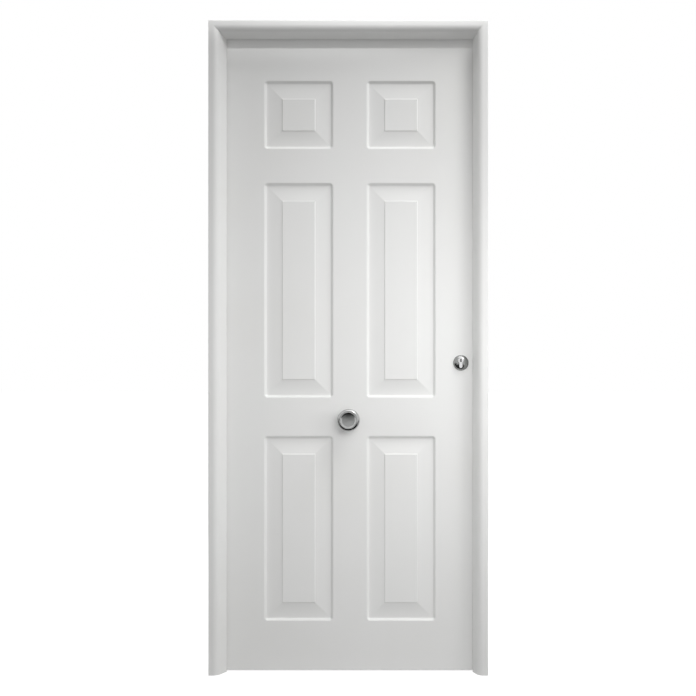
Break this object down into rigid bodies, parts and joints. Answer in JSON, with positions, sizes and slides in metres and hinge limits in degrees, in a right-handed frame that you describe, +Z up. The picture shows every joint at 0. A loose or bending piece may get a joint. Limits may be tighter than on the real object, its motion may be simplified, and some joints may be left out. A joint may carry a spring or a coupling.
{
  "type": "panelled front door",
  "caption": "White panelled entrance door hung in a rounded steel frame, with a centre pull knob, a domed key escutcheon, barrel hinges and a lock with round bolts.",
  "frame": {"origin": "floor level, in the middle of the frame's width and of the whole depth", "axes": "+X to the lock side, +Y into the house, +Z up"},
  "size_m": [0.89, 0.153, 2.085],
  "materials": {
    "white_paint": "satin white coat on folded and pressed steel",
    "chrome": "turned and polished",
    "steel": "zinc plated",
    "wood": "plain softwood",
    "infill": "rigid foam",
    "seal": "matt black"
  },
  "bodies": {
    "frame": {"hinge_jamb": "white_paint", "lock_jamb": "white_paint", "header": "white_paint", "frame_gasket": "seal", "strike_plate": "steel", "strike_screws": "steel", "bolt_box": "steel", "hinge_frame_half_1": "chrome", "hinge_frame_half_2": "chrome", "hinge_frame_half_3": "chrome", "hinge_pin_1": "chrome", "hinge_pin_2": "chrome", "hinge_pin_3": "chrome", "hinge_washers": "steel", "hinge_backers": "steel", "frame_hinge_screws": "steel"},
    "leaf": {"outer_skin": "white_paint", "inner_skin": "white_paint", "core": "infill", "hinge_stile": "wood", "lock_stile": "wood", "top_rail": "wood", "bottom_rail": "wood", "hinge_leaf_half_1": "chrome", "hinge_leaf_half_2": "chrome", "hinge_leaf_half_3": "chrome", "leaf_hinge_screws": "steel", "lock_case": "steel", "lock_cover": "steel", "lock_faceplate": "chrome", "faceplate_screws": "steel", "cylinder_body": "chrome", "cylinder_screw": "steel", "outer_escutcheon": "chrome", "inner_rose": "chrome", "escutcheon_bolts": "steel", "pull_knob": "chrome", "pull_rose": "chrome", "pull_stud": "steel", "pull_cap": "chrome", "turn_rose": "chrome"},
    "bolts": {"bolt_carriage": "steel", "deadbolts": "chrome"},
    "latch": {"latch_bolt": "chrome"},
    "turn": {"turn_knob": "chrome", "spindle": "steel", "follower": "steel"},
    "key": {"key_plug": "chrome", "cam": "steel", "thumb_turn": "chrome"}
  },
  "joints": [
    {"name": "leaf_swing", "type": "hinge", "parent": "frame", "child": "leaf", "pos_m": [-0.4145, 0.0398, 1.025], "axis": [0, 0, 1], "range_deg": [0, 110]},
    {"name": "turn_knob_turn", "type": "hinge", "parent": "leaf", "child": "turn", "pos_m": [0.358, 0.0285, 1.088], "axis": [0, 1, 0], "range_deg": [0, 60]},
    {"name": "latch_slide", "type": "slide", "parent": "leaf", "child": "latch", "axis": [1, 0, 0], "range_m": [0, 0.012]},
    {"name": "key_turn", "type": "hinge", "parent": "leaf", "child": "key", "pos_m": [0.358, 0.0285, 1.003], "axis": [0, -1, 0], "range_deg": [0, 360]},
    {"name": "bolt_slide", "type": "slide", "parent": "leaf", "child": "bolts", "axis": [1, 0, 0], "range_m": [0, 0.018]}
  ],
  "couplings": [
    {"joint": "latch_slide", "follows": "turn_knob_turn", "m_per_rad": 0.011459},
    {"joint": "bolt_slide", "follows": "key_turn", "m_per_rad": 0.0028645}
  ]
}
